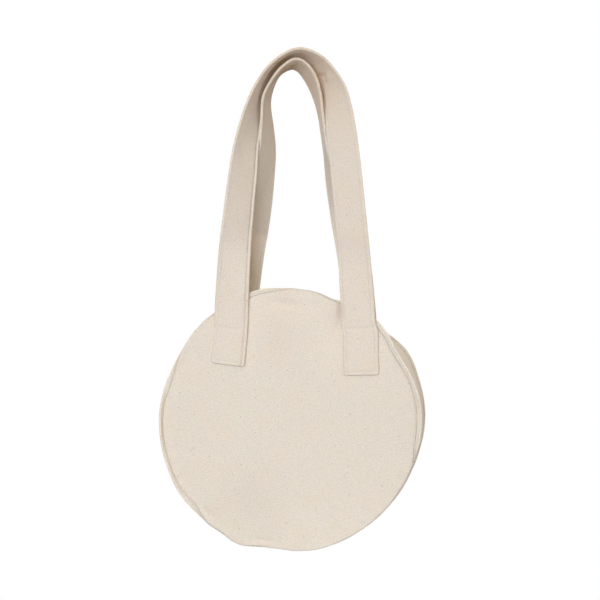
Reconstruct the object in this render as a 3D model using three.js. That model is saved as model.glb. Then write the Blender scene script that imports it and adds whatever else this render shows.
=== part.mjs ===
// A round tote bag of plain cotton canvas, as it hangs by its two straps.
// Millimetres, +Z up, the front faces -Y. The origin is the hang point, under the top of the back strap.

import * as THREE from 'three';
import { mergeVertices } from 'three/addons/utils/BufferGeometryUtils.js';

const { clamp, degToRad, lerp, radToDeg, smoothstep } = THREE.MathUtils;

// Driving dimensions of the body
const PANEL_RADIUS = 146; // of each round panel, at its rim seam
const PANEL_CENTRE = { x: 2, z: -409 };
const GUSSET_DEPTH = 72; // between the two rim seams, at the sides and the bottom
const CANVAS = 1.4; // thickness of one canvas wall
const CROWN = 5; // how far each panel bellies out in the middle
const MOUTH_LEAN = 7; // how far the straps draw each panel in at the top
const LEAN_FROM = 0.2; // height at which that starts, as a share of the radius
const ROLL_POWER = 6; // the higher, the closer to the rim a rolled edge starts
const GUSSET_BULGE = 3; // how far the band bows out between its seams
const UP = 90; // angles run anticlockwise from +X, seen from the front
const MOUTH_HALF_ANGLE = 43; // the band stops this far each side of straight up

// The bound seam: a folded strip that stands out from the rim
const BINDING_REACH = 6;
const BINDING_THICKNESS = 3;
const SEAM_LEAN = 56; // degrees from the rim's own plane towards the outside
const EDGE_LEAN = -8; // the same along the mouth, where no band is sewn in
const EDGE_BLEND = 14; // degrees of rim below the mouth over which one turns into the other

// The straps: canvas folded in four
const STRAP_WIDTH = 40;
const STRAP_THICKNESS = 3.2;
const STRAP_EDGE = 1; // how far the folded edges are rounded

// Clearances between pieces that are sewn together
const SEAM_GAP = 0.5;
const STRAP_GAP = 0.5;
const RIM_STEP_FROM = 0.92; // share of the radius where a strap starts to rise onto the binding

// Fineness of the meshes
const RIM_STEPS = 64;
const PANEL_RINGS = 9;
const BAND_STEPS = 50;
const BAND_COLUMNS = 6;
const BINDING_SIDES = 8;
const STRAP_STEPS = 4; // sections for each row of a strap's table

const FRONT = { name: 'front', side: -1 };
const BACK = { name: 'back', side: 1 };

// Where a rim leaves the plain circle, one row for each fold: its middle and spread in degrees,
// how far it goes outward and inward to the mouth, and how far it turns the binding.
const RIM_FOLDS = [
  { panel: 'front', at: 30, spread: 14, outward: -6, inward: 0, lean: -36 },
  { panel: 'front', at: 68, spread: 9, outward: -6, inward: 2, lean: -50 },
  { panel: 'front', at: 86, spread: 13, outward: -3, inward: 7, lean: -75 },
  { panel: 'front', at: 103, spread: 8, outward: 2, inward: 0, lean: 0 },
  { panel: 'front', at: 150, spread: 11, outward: -3, inward: 0, lean: -60 },
  { panel: 'front', at: 220, spread: 32, outward: 2, inward: 0, lean: 0 },
  { panel: 'front', at: 248, spread: 8, outward: 1.5, inward: 0, lean: 0 },
  { panel: 'front', at: 264, spread: 9, outward: -2, inward: 1, lean: 0 },
  { panel: 'front', at: 290, spread: 45, outward: 1, inward: 0, lean: 18 },
  { panel: 'back', at: 30, spread: 8, outward: 1.5, inward: 0, lean: 0 },
  { panel: 'back', at: 47, spread: 10, outward: -8, inward: 0, lean: 0 },
  { panel: 'back', at: 82, spread: 24, outward: -8, inward: 6, lean: -40 },
  { panel: 'back', at: 148, spread: 15, outward: -4, inward: 0, lean: -15 },
  { panel: 'back', at: 292, spread: 9, outward: 2, inward: 0, lean: 0 },
];

// Soft folds in a panel, one row each: place from the panel's centre, turn in degrees,
// half length, half width and depth.
const PANEL_FOLDS = [
  { panel: 'front', x: -135, z: -20, turn: 82, length: 26, width: 10, depth: 2 },
  { panel: 'front', x: -122, z: 62, turn: 60, length: 26, width: 11, depth: 2 },
  { panel: 'front', x: -94, z: -108, turn: -48, length: 18, width: 10, depth: 2 },
  { panel: 'front', x: -30, z: -138, turn: 5, length: 22, width: 10, depth: 2.5 },
  { panel: 'front', x: 54, z: 116, turn: 84, length: 20, width: 9, depth: 3 },
  { panel: 'front', x: -26, z: 100, turn: -52, length: 34, width: 14, depth: 1.2 },
  { panel: 'back', x: 0, z: 98, turn: 0, length: 40, width: 16, depth: 1.5 },
  { panel: 'back', x: 110, z: -70, turn: 40, length: 24, width: 12, depth: 2 },
];

// Each strap's middle line from its left end to its right end, one row for each section.
// The roll turns the face that looks forward at the sewn ends until it looks down at the top.
// A row that is sewn, or held against the rim, lies on its panel, which gives its y.
const STRAP_ROWS = {
  front: [
    { x: -70, y: -40, z: -347, roll: 0, sewn: 1 },
    { x: -67, y: -36, z: -304, roll: 2, sewn: 1 },
    { x: -66, y: -33, z: -268, roll: 11, sewn: 1 },
    { x: -61.5, y: -30.5, z: -199, roll: 35, sewn: 0 },
    { x: -55, y: -26.5, z: -132, roll: 46, sewn: 0 },
    { x: -49.5, y: -18.5, z: -80.5, roll: 60, sewn: 0 },
    { x: -39.5, y: -14, z: -35.5, roll: 76, sewn: 0 },
    { x: -20.5, y: -12.5, z: -2.5, roll: 83, sewn: 0 },
    { x: 8, y: -10, z: 12, roll: 76, sewn: 0 },
    { x: 29.5, y: -6, z: 2, roll: 61, sewn: 0 },
    { x: 42, y: -4, z: -17.5, roll: 44.5, sewn: 0 },
    { x: 51, y: -6, z: -40, roll: 33.5, sewn: 0 },
    { x: 58.5, y: -13.5, z: -79.5, roll: 26.5, sewn: 0 },
    { x: 65.5, y: -22, z: -134, roll: 22.5, sewn: 0 },
    { x: 72.5, y: -28.5, z: -199, roll: 22.5, sewn: 0 },
    { x: 78, y: -33, z: -268, roll: 14, sewn: 1 },
    { x: 81, y: -36, z: -306, roll: 2, sewn: 1 },
    { x: 84, y: -39, z: -358, roll: 0, sewn: 1 },
  ],
  back: [
    { x: -70, y: 40, z: -348, roll: 0, sewn: 1 },
    { x: -67, y: 36, z: -306, roll: 2, sewn: 1 },
    { x: -65, y: 33, z: -268, roll: 6, sewn: 1 },
    { x: -52.5, y: 30, z: -193, roll: 27.5, sewn: 0 },
    { x: -41, y: 25.5, z: -146.5, roll: 54.5, sewn: 0 },
    { x: -33, y: 19, z: -101.5, roll: 70.5, sewn: 0 },
    { x: -32, y: 11, z: -69, roll: 78, sewn: 0 },
    { x: -31, y: 3.5, z: -36.5, roll: 87, sewn: 0 },
    { x: -19, y: -1.5, z: -11.5, roll: 94.5, sewn: 0 },
    { x: -4.5, y: -1.5, z: 0.5, roll: 89, sewn: 0 },
    { x: 7.5, y: 0, z: 1.5, roll: 75.5, sewn: 0 },
    { x: 18.5, y: 4, z: -10, roll: 69, sewn: 0 },
    { x: 27, y: 8, z: -30.5, roll: 71, sewn: 0 },
    { x: 32, y: 13, z: -59, roll: 77.5, sewn: 0 },
    { x: 37.5, y: 19, z: -102.5, roll: 76, sewn: 0 },
    { x: 47.5, y: 24.5, z: -146.5, roll: 56.5, sewn: 0 },
    { x: 62.5, y: 28.5, z: -199.5, roll: 28.5, sewn: 0 },
    { x: 73, y: 33, z: -268, roll: 6, sewn: 1 },
    { x: 77, y: 36, z: -306, roll: 2, sewn: 1 },
    { x: 80, y: 40, z: -352, roll: 0, sewn: 1 },
  ],
};

// Unbleached canvas, a little darker where the light falls less
const CANVAS_COLOURS = {
  panel: '#e3d8cb',
  band: '#dbcfc1',
  binding: '#e6dbcd',
  strap: '#e2d6ca',
};

// A smooth bump of height 1 at no distance, that has faded out at about twice the spread
function bump(distance, spread) {
  return Math.exp(-((distance / spread) ** 2));
}

// The angle from one direction to another, between -180 and 180 degrees
function angleBetween(from, to) {
  return ((((to - from + 180) % 360) + 360) % 360) - 180;
}

// The rim of a panel at an angle: its radius, how far it rolls inward, and its binding's lean
function rimAt(panel, angle) {
  const fromUp = Math.abs(angleBetween(UP, angle));
  const seam = smoothstep(fromUp, MOUTH_HALF_ANGLE, MOUTH_HALF_ANGLE + EDGE_BLEND);
  const rim = { radius: PANEL_RADIUS, inward: 0, lean: lerp(EDGE_LEAN, SEAM_LEAN, seam) };
  for (const fold of RIM_FOLDS.filter((row) => row.panel === panel.name)) {
    const share = bump(angleBetween(fold.at, angle), fold.spread);
    rim.radius += share * fold.outward;
    rim.inward += share * fold.inward;
    rim.lean += share * fold.lean;
  }
  return rim;
}

// How deep the panel's own folds are at a place from its centre
function foldDepth(panel, x, z) {
  let depth = 0;
  for (const fold of PANEL_FOLDS.filter((row) => row.panel === panel.name)) {
    const turn = degToRad(fold.turn);
    const along = (x - fold.x) * Math.cos(turn) + (z - fold.z) * Math.sin(turn);
    const across = (z - fold.z) * Math.cos(turn) - (x - fold.x) * Math.sin(turn);
    depth += fold.depth * bump(along, fold.length) * bump(across, fold.width);
  }
  return depth;
}

// The rim beyond a place on a panel, and the place's share of the way out to it
function polarPlace(panel, x, z) {
  const fromX = x - PANEL_CENTRE.x;
  const fromZ = z - PANEL_CENTRE.z;
  const rim = rimAt(panel, radToDeg(Math.atan2(fromZ, fromX)));
  return { rim, share: Math.hypot(fromX, fromZ) / rim.radius };
}

// How far a panel's middle surface is from the bag's middle plane, before its folds
function smoothDepth(panel, x, z) {
  const { rim, share } = polarPlace(panel, x, z);
  const lean = MOUTH_LEAN * smoothstep((z - PANEL_CENTRE.z) / PANEL_RADIUS, LEAN_FROM, 1);
  const crown = CROWN * (1 - Math.min(share, 1) ** 2);
  const roll = rim.inward * share ** ROLL_POWER;
  return GUSSET_DEPTH / 2 - lean + crown - roll;
}

// The same with its folds
function panelDepth(panel, x, z) {
  return smoothDepth(panel, x, z) - foldDepth(panel, x - PANEL_CENTRE.x, z - PANEL_CENTRE.z);
}

// A point of a panel's middle surface, at an angle and a share of the way out to the rim
function panelPoint(panel, angle, share) {
  const radius = share * rimAt(panel, angle).radius;
  const x = PANEL_CENTRE.x + radius * Math.cos(degToRad(angle));
  const z = PANEL_CENTRE.z + radius * Math.sin(degToRad(angle));
  return new THREE.Vector3(x, panel.side * panelDepth(panel, x, z), z);
}

// How far out a strap's near face lies where it rests on a panel, over its folds, and on its bound rim
function seatDepth(panel, x, z) {
  const { share } = polarPlace(panel, x, z);
  const wall = lerp(CANVAS, BINDING_THICKNESS, smoothstep(share, RIM_STEP_FROM, 1)) / 2;
  return smoothDepth(panel, x, z) + wall + STRAP_GAP;
}

// The direction out of the bag, square to a panel at a place
function panelNormal(panel, x, z) {
  const step = 0.5;
  const slopeX = (panelDepth(panel, x + step, z) - panelDepth(panel, x - step, z)) / (2 * step);
  const slopeZ = (panelDepth(panel, x, z + step) - panelDepth(panel, x, z - step)) / (2 * step);
  return new THREE.Vector3(-slopeX, panel.side, -slopeZ).normalize();
}

// The direction straight out from the panels' centre at an angle
function radial(angle) {
  return new THREE.Vector3(Math.cos(degToRad(angle)), 0, Math.sin(degToRad(angle)));
}

// A closed body from rows of points. Rows run round as a ring, or are closed off at both ends,
// where each point of the row meets its partner counted from the row's other end.
function bodyFromRows(rows, { ring }) {
  const count = rows[0].length;
  const index = [];
  const quad = (a, b, c, d) => index.push(a, b, c, a, c, d);
  const rowPairs = ring ? rows.length : rows.length - 1;
  for (let i = 0; i < rowPairs; i += 1) {
    const here = i * count;
    const next = ((i + 1) % rows.length) * count;
    for (let j = 0; j < count; j += 1) {
      const k = (j + 1) % count;
      quad(here + j, here + k, next + k, next + j);
    }
  }
  if (!ring) {
    const last = (rows.length - 1) * count;
    for (let j = 0; j < count / 2 - 1; j += 1) {
      const partner = count - 1 - j;
      quad(j, partner, partner - 1, j + 1);
      quad(last + j, last + j + 1, last + partner - 1, last + partner);
    }
  }
  const geometry = new THREE.BufferGeometry();
  const positions = rows.flat().flatMap((point) => point.toArray());
  geometry.setAttribute('position', new THREE.Float32BufferAttribute(positions, 3));
  geometry.setIndex(index);
  return withoutFlatTriangles(mergeVertices(geometry));
}

// Drops the triangles that have shrunk to a line, such as those at a panel's centre
function withoutFlatTriangles(geometry) {
  const corners = geometry.index.array;
  const kept = [];
  for (let i = 0; i < corners.length; i += 3) {
    const [a, b, c] = corners.slice(i, i + 3);
    if (a !== b && b !== c && c !== a) {
      kept.push(a, b, c);
    }
  }
  geometry.setIndex(kept);
  geometry.computeVertexNormals();
  return geometry;
}

function namedMesh(name, geometry, colour) {
  const material = new THREE.MeshStandardMaterial({ color: colour, roughness: 0.95, metalness: 0 });
  const mesh = new THREE.Mesh(geometry, material);
  mesh.name = name;
  return mesh;
}

// One round wall: each row runs from the centre out over the outer face and back over the inner one
function panelGeometry(panel) {
  const rows = [];
  for (let i = 0; i < RIM_STEPS; i += 1) {
    const angle = (-panel.side * 360 * i) / RIM_STEPS;
    const edge = 1 - (BINDING_THICKNESS / 2 + SEAM_GAP) / rimAt(panel, angle).radius;
    const outer = [];
    const inner = [];
    for (let ring = 0; ring <= PANEL_RINGS; ring += 1) {
      const middle = panelPoint(panel, angle, (edge * ring) / PANEL_RINGS);
      const half = panelNormal(panel, middle.x, middle.z).multiplyScalar(CANVAS / 2);
      outer.push(middle.clone().add(half));
      inner.push(middle.clone().sub(half));
    }
    rows.push([...outer, ...inner.reverse()]);
  }
  return bodyFromRows(rows, { ring: true });
}

// The band between the panels: each row runs across the outside from front to back, and back inside
function gussetGeometry() {
  const rows = [];
  const sweep = 360 - 2 * MOUTH_HALF_ANGLE;
  for (let i = 0; i <= BAND_STEPS; i += 1) {
    const angle = UP + MOUTH_HALF_ANGLE + (sweep * i) / BAND_STEPS;
    const front = panelPoint(FRONT, angle, 1);
    const back = panelPoint(BACK, angle, 1);
    const margin = (BINDING_THICKNESS / 2 + SEAM_GAP) / front.distanceTo(back);
    const out = radial(angle);
    const outside = [];
    const inside = [];
    for (let column = 0; column <= BAND_COLUMNS; column += 1) {
      const share = lerp(margin, 1 - margin, column / BAND_COLUMNS);
      const bulge = GUSSET_BULGE * 4 * share * (1 - share);
      const middle = front.clone().lerp(back, share).addScaledVector(out, bulge);
      outside.push(middle.clone().addScaledVector(out, CANVAS / 2));
      inside.push(middle.clone().addScaledVector(out, -CANVAS / 2));
    }
    rows.push([...outside, ...inside.reverse()]);
  }
  return bodyFromRows(rows, { ring: false });
}

// The bound seam: a strip with round edges, one of them on the rim
function bindingGeometry(panel) {
  const rows = [];
  const radius = BINDING_THICKNESS / 2;
  for (let i = 0; i < RIM_STEPS; i += 1) {
    const angle = (-panel.side * 360 * i) / RIM_STEPS;
    const rim = panelPoint(panel, angle, 1);
    const lean = degToRad(rimAt(panel, angle).lean);
    const outOfBag = new THREE.Vector3(0, panel.side, 0);
    const along = radial(angle).multiplyScalar(Math.cos(lean)).addScaledVector(outOfBag, Math.sin(lean));
    const across = radial(angle).multiplyScalar(-Math.sin(lean)).addScaledVector(outOfBag, Math.cos(lean));
    const row = [];
    for (let side = 0; side < BINDING_SIDES; side += 1) {
      const turn = Math.PI * ((2 * side + 1) / BINDING_SIDES);
      const reach = Math.cos(turn) > 0 ? BINDING_REACH - radius : 0;
      const point = rim.clone().addScaledVector(along, reach + radius * Math.cos(turn));
      row.push(point.addScaledVector(across, radius * Math.sin(turn)));
    }
    rows.push(row.reverse());
  }
  return bodyFromRows(rows, { ring: true });
}

// A value from one column of a table, on a smooth curve through its rows
function fromColumn(rows, column, place) {
  const last = rows.length - 1;
  const index = clamp(Math.floor(place), 0, last - 1);
  const t = place - index;
  const value = (i) => rows[i][column];
  const start = value(index);
  const end = value(index + 1);
  const slopeAt = (i) => (value(Math.min(i + 1, last)) - value(Math.max(i - 1, 0))) / 2;
  const startSlope = slopeAt(index);
  const endSlope = slopeAt(index + 1);
  const a = 2 * start - 2 * end + startSlope + endSlope;
  const b = 3 * end - 3 * start - 2 * startSlope - endSlope;
  return ((a * t + b) * t + startSlope) * t + start;
}

// A strap: each row is one section across it, turned by its roll and laid on its panel where sewn
function strapGeometry(panel) {
  const table = STRAP_ROWS[panel.name];
  const steps = (table.length - 1) * STRAP_STEPS;
  const middleAt = (place) => new THREE.Vector3(...['x', 'y', 'z'].map((axis) => fromColumn(table, axis, place)));
  const halfWidth = STRAP_WIDTH / 2;
  const halfThickness = STRAP_THICKNESS / 2;
  const section = [
    [halfWidth, halfThickness - STRAP_EDGE],
    [halfWidth - STRAP_EDGE, halfThickness],
    [STRAP_EDGE - halfWidth, halfThickness],
    [-halfWidth, halfThickness - STRAP_EDGE],
  ];
  const loop = [...section, ...section.map(([across, up]) => [across, -up]).reverse()];
  const rows = [];
  for (let i = 0; i <= steps; i += 1) {
    const place = i / STRAP_STEPS;
    const nudge = 0.01;
    const ahead = middleAt(Math.min(place + nudge, table.length - 1));
    const tangent = ahead.sub(middleAt(Math.max(place - nudge, 0))).normalize();
    const inward = new THREE.Vector3(tangent.z, 0, -tangent.x).normalize();
    const forward = new THREE.Vector3().crossVectors(inward, tangent);
    const roll = degToRad(fromColumn(table, 'roll', place));
    const edge = inward.clone().multiplyScalar(-Math.cos(roll)).addScaledVector(forward, Math.sin(roll));
    const face = inward.clone().multiplyScalar(Math.sin(roll)).addScaledVector(forward, Math.cos(roll));
    const sewn = clamp(fromColumn(table, 'sewn', place), 0, 1);
    rows.push(loop.map(([across, up]) => {
      const point = middleAt(place).addScaledVector(edge, across).addScaledVector(face, up);
      const seat = seatDepth(panel, point.x, point.z) + halfThickness;
      point.y = lerp(point.y, panel.side * seat - up, sewn);
      return point;
    }));
  }
  return bodyFromRows(rows, { ring: false });
}

const bag = new THREE.Group();
for (const panel of [FRONT, BACK]) {
  bag.add(namedMesh(`${panel.name}_panel`, panelGeometry(panel), CANVAS_COLOURS.panel));
  bag.add(namedMesh(`${panel.name}_binding`, bindingGeometry(panel), CANVAS_COLOURS.binding));
  bag.add(namedMesh(`${panel.name}_strap`, strapGeometry(panel), CANVAS_COLOURS.strap));
}
bag.add(namedMesh('gusset', gussetGeometry(), CANVAS_COLOURS.band));

export default bag;
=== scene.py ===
"""The look of a round tote bag of plain cotton canvas, as it hangs by its two straps.

Shapes are worked out in millimetres, +Z up, the front facing -Y, and become metres where a mesh is made.
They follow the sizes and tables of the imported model, with finer meshes, seams, folded edges and stitches.
"""

import math
from typing import NamedTuple

import bmesh
import bpy
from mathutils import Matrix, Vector, noise


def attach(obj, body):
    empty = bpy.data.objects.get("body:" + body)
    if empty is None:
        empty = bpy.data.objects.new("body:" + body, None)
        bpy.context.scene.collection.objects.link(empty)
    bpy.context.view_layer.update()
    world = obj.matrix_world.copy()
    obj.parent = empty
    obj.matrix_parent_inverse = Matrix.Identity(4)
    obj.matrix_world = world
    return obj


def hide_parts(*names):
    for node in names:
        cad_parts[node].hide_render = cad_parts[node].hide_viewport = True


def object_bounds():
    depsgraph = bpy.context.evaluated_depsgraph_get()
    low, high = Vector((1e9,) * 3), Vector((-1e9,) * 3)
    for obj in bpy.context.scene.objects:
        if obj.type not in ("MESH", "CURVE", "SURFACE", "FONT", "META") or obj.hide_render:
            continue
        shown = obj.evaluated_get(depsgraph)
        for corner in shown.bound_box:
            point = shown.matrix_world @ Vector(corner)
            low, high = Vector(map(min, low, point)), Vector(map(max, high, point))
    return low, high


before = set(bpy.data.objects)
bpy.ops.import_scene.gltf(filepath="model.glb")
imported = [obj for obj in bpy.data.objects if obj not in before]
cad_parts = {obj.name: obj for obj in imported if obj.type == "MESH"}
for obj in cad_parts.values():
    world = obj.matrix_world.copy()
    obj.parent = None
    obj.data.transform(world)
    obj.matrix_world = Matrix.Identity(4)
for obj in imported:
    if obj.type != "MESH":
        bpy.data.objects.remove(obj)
cad_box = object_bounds()

MM = 0.001

# The body
PANEL_RADIUS = 146
PANEL_CENTRE_X = 2
PANEL_CENTRE_Z = -409
GUSSET_DEPTH = 72
CANVAS = 1.4
CROWN = 5
MOUTH_LEAN = 7
LEAN_FROM = 0.2
ROLL_POWER = 6
GUSSET_BULGE = 3
UP = 90
MOUTH_HALF_ANGLE = 43

# The bound seam
BINDING_REACH = 6
BINDING_THICKNESS = 3
SEAM_LEAN = 56
EDGE_LEAN = -8
EDGE_BLEND = 14

# The straps
STRAP_WIDTH = 40
STRAP_THICKNESS = 3.2
STRAP_GAP = 0.15
RIM_STEP_FROM = 0.92

# Sewing
STITCH_PITCH = 3.4
STITCH_LENGTH = 2.7
STITCH_SIDES = 6
THREAD = 0.55
TOPSTITCH_INSET = 4.2
HEM = 12
HEM_FULLNESS = 1.4
HEM_STITCH_INSET = 2.5
LEAST_FULLNESS = 0.1
GROOVE = 0.8
GROOVE_SPREAD = 0.9
EDGE_PUFF = 0.5
END_GROOVE = 0.6
BINDING_PINCH = 0.2
BINDING_PINCH_SPREAD = 0.8

# Half the way over which one layer or line gives way to the next
FADE = 1

# How tightly a rim that curls back is bent
CURL_RADIUS = 3

# The leans between which a binding goes from lying folded back to standing up beside its panel,
# how far the panel dips into its seam there, and how dark the shade painted into the seam is and where it
# starts
FOLDED_BACK = (-50, 10)
SEAM_DIP = 1.6
SEAM_DIP_FROM = 0.97
SEAM_SHADE = 3
SEAM_SHADE_FROM = 0.985

# Small unevenness of the cloth: how far it goes, over what length, and where it fades
PUCKER = 0.8
PUCKER_LENGTH = 11
PUCKER_BAND = (0.78, 0.96)
PUCKER_START = 8
WAVE = 0.9
WAVE_LENGTH = 60
WAVE_FADE_POWER = 4
SMALLEST_SHARE = 0.01
BAND_WAVE = 1.1
BAND_WAVE_LENGTH = 32
STRAP_WAVE = 0.7
STRAP_WAVE_LENGTH = 38
BINDING_WAVE = 6
BINDING_WAVE_LENGTH = 24

# What sets one kind of unevenness apart from the next
BAND_SEED = 2.3
BAND_PUCKER_SEED = 7.9
PUCKER_SEED = 5
BINDING_SEED = 20
STRAP_SEED = 40

# Fineness of the meshes
PANEL_STEPS = 66
RING_POWER = 1.6
BAND_STEP = 3
BAND_COLUMNS = 28
BINDING_STEP = 1.7
STRAP_STEP = 3
END_STATIONS = (0, 0.3, 0.8, 1.5, 2.4, 3.3, 4.2, 5.1, 6.6)
JOIN_WITHIN = 0.001


class Panel(NamedTuple):
    name: str
    side: int
    seed: float


class RimFold(NamedTuple):
    at: float
    spread: float
    outward: float
    inward: float
    lean: float
    curl: float = 0


class PanelFold(NamedTuple):
    x: float
    z: float
    turn: float
    length: float
    width: float
    depth: float


class Patch(NamedTuple):
    x: float
    z: float
    spread: float
    wear_and_shade: float


class StrapRow(NamedTuple):
    x: float
    y: float
    z: float
    roll: float
    sewn: float


class StrapEnd(NamedTuple):
    box: float
    slant: float
    jog: float
    inner: float
    outer: float
    lift: float
    shade: float


class StrapDent(NamedTuple):
    row: float
    across: float
    length: float
    width: float
    depth: float


class WearShadeLine(NamedTuple):
    at: float
    spread: float
    wear_and_shade: float


class StitchRing(NamedTuple):
    share: float
    fullness: float
    rise: float


class Softbox(NamedTuple):
    name: str
    place: tuple
    size: tuple
    power: float


class Rim(NamedTuple):
    radius: float
    inward: float
    lean: float
    curl: float


class Spot(NamedTuple):
    outer: Vector
    inner: Vector
    uv: tuple
    # How much paler or darker a spot is painted, for wear and for painted shade and highlight, and how much
    # painted shade it gets on the straps' arch
    wear_and_shade: float
    arch_shade: float = 0


FRONT = Panel("front", -1, 3.7)
BACK = Panel("back", 1, 11.2)

# Where a rim leaves the plain circle. A lean turns its binding, in degrees, and beyond about -100 in all
# the binding lies behind the panel's edge. A curl turns the panel's edge back, in degrees.
RIM_FOLDS = {
    "front": [
        RimFold(at=4, spread=12, outward=0.4, inward=0, lean=-28),
        RimFold(at=32, spread=14, outward=-5.2, inward=0, lean=-36),
        RimFold(at=68, spread=10, outward=-6.9, inward=1, lean=-30, curl=35),
        RimFold(at=86, spread=12, outward=-2.4, inward=5, lean=-25, curl=65),
        RimFold(at=103, spread=8, outward=1.6, inward=0, lean=0),
        RimFold(at=146, spread=20, outward=-0.6, inward=0, lean=-50, curl=95),
        RimFold(at=172, spread=9, outward=0, inward=0, lean=18),
        RimFold(at=192, spread=24, outward=3, inward=0, lean=13),
        RimFold(at=215, spread=12, outward=3.5, inward=0, lean=0),
        RimFold(at=231, spread=9, outward=4, inward=0, lean=-80, curl=45),
        RimFold(at=247, spread=10, outward=5.9, inward=0, lean=-115, curl=25),
        RimFold(at=263, spread=9, outward=-1.4, inward=1, lean=-115, curl=8),
        RimFold(at=277, spread=10, outward=1.3, inward=0, lean=-125, curl=10),
        RimFold(at=288, spread=9, outward=0.2, inward=0, lean=-110, curl=8),
        RimFold(at=301, spread=10, outward=-0.4, inward=0, lean=-120, curl=8),
        RimFold(at=314, spread=11, outward=-1.2, inward=0, lean=-120, curl=8),
        RimFold(at=328, spread=11, outward=-1.7, inward=0, lean=-120, curl=8),
        RimFold(at=341, spread=11, outward=-0.9, inward=0, lean=-100, curl=8),
    ],
    "back": [
        RimFold(at=0, spread=13, outward=1, inward=0, lean=0),
        RimFold(at=30, spread=8, outward=1.5, inward=0, lean=0),
        RimFold(at=46.5, spread=10.5, outward=-8.4, inward=0, lean=0),
        RimFold(at=82, spread=24, outward=-9, inward=6, lean=-40),
        RimFold(at=148, spread=15, outward=-4, inward=0, lean=-15),
        RimFold(at=292, spread=9, outward=2, inward=0, lean=0),
    ],
}

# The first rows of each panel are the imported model's folds, the rest are finer creases
PANEL_FOLDS = {
    "front": [
        PanelFold(x=-135, z=-20, turn=82, length=26, width=10, depth=2),
        PanelFold(x=-122, z=62, turn=60, length=26, width=11, depth=2),
        PanelFold(x=-94, z=-108, turn=-48, length=18, width=10, depth=2),
        PanelFold(x=-30, z=-138, turn=5, length=22, width=10, depth=2.5),
        PanelFold(x=54, z=116, turn=84, length=20, width=9, depth=3),
        PanelFold(x=-26, z=100, turn=-52, length=34, width=14, depth=1.2),
        PanelFold(x=57, z=122, turn=88, length=15, width=3.2, depth=4.8),
        PanelFold(x=-6, z=132, turn=-9, length=18, width=5, depth=3.4),
        PanelFold(x=-97, z=-107, turn=-48, length=8, width=3, depth=2.4),
        PanelFold(x=-128, z=58, turn=62, length=30, width=6, depth=1.6),
        PanelFold(x=-31, z=-139, turn=-6, length=15, width=3, depth=1.8),
        PanelFold(x=-61, z=-133, turn=66, length=7, width=3, depth=1.4),
        PanelFold(x=-56, z=-135, turn=68, length=6, width=2.2, depth=-1.2),
    ],
    "back": [
        PanelFold(x=0, z=98, turn=0, length=40, width=16, depth=1.5),
        PanelFold(x=110, z=-70, turn=40, length=24, width=12, depth=2),
        PanelFold(x=-118, z=-64, turn=-40, length=20, width=7, depth=1.5),
        PanelFold(x=-40, z=126, turn=96, length=18, width=5, depth=1.5),
    ],
}

# Soft patches where a panel is painted darker, below 0, or paler; those on the front are painted shade and
# light
PANEL_PATCHES = {
    "front": [
        Patch(x=-45, z=-92, spread=38, wear_and_shade=-1.1),
        Patch(x=-12, z=88, spread=28, wear_and_shade=-0.8),
        Patch(x=70, z=72, spread=28, wear_and_shade=0.8),
    ],
    "back": [
        Patch(x=30, z=-80, spread=40, wear_and_shade=-0.8),
        Patch(x=-50, z=50, spread=30, wear_and_shade=0.6),
    ],
}

# The way of each strap from its left end over its top to its right end: its middle,
# how far its face turns in from the front, in degrees, and how far it lies on its panel
STRAP_ROWS = {
    "front": [
        StrapRow(-70, -40, -347, roll=0, sewn=1),
        StrapRow(-67, -36, -304, roll=2, sewn=1),
        StrapRow(-66, -33, -268, roll=11, sewn=1),
        StrapRow(-61.5, -30.5, -199, roll=35, sewn=0),
        StrapRow(-54.7, -26.5, -132, roll=45, sewn=0),
        StrapRow(-49.2, -18.5, -80.5, roll=59, sewn=0),
        StrapRow(-39.2, -14, -35.5, roll=76, sewn=0),
        StrapRow(-20.5, -12.5, -2.8, roll=86, sewn=0),
        StrapRow(8, -10, 11.7, roll=78.5, sewn=0),
        StrapRow(29.5, -6, 2, roll=61, sewn=0),
        StrapRow(42, -4, -17.5, roll=44.5, sewn=0),
        StrapRow(51, -6, -40, roll=33.5, sewn=0),
        StrapRow(58.5, -13.5, -79.5, roll=26.5, sewn=0),
        StrapRow(65.5, -22, -134, roll=22.5, sewn=0),
        StrapRow(72.5, -28.5, -199, roll=22.5, sewn=0),
        StrapRow(78, -33, -268, roll=14, sewn=1),
        StrapRow(81, -36, -306, roll=2, sewn=1),
        StrapRow(84, -39, -358, roll=0, sewn=1),
    ],
    "back": [
        StrapRow(-70, 40, -348, roll=0, sewn=1),
        StrapRow(-67, 36, -306, roll=2, sewn=1),
        StrapRow(-64, 33, -268, roll=6, sewn=1),
        StrapRow(-52.3, 30, -193, roll=27.5, sewn=0),
        StrapRow(-41, 25.5, -146.5, roll=54.5, sewn=0),
        StrapRow(-33.3, 19, -101.5, roll=68.5, sewn=0),
        StrapRow(-32, 11, -69, roll=78, sewn=0),
        StrapRow(-31, 3.5, -36.5, roll=87, sewn=0),
        StrapRow(-19, -1.5, -11.5, roll=94.5, sewn=0),
        StrapRow(-4.5, -1.5, 0.5, roll=89, sewn=0),
        StrapRow(7.5, 0, 1.5, roll=75.5, sewn=0),
        StrapRow(18.5, 4, -10, roll=69, sewn=0),
        StrapRow(27, 8, -30.5, roll=71, sewn=0),
        StrapRow(32.5, 13, -59, roll=78, sewn=0),
        StrapRow(38.2, 19, -102.5, roll=77, sewn=0),
        StrapRow(48.2, 24.5, -146.5, roll=57, sewn=0),
        StrapRow(63.2, 28.5, -199.5, roll=28.5, sewn=0),
        StrapRow(71, 31, -233, roll=17, sewn=0.4),
        StrapRow(74, 33, -268, roll=6, sewn=1),
        StrapRow(77, 36, -306, roll=2, sewn=1),
        StrapRow(80, 40, -352, roll=0, sewn=1),
    ],
}
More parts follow.
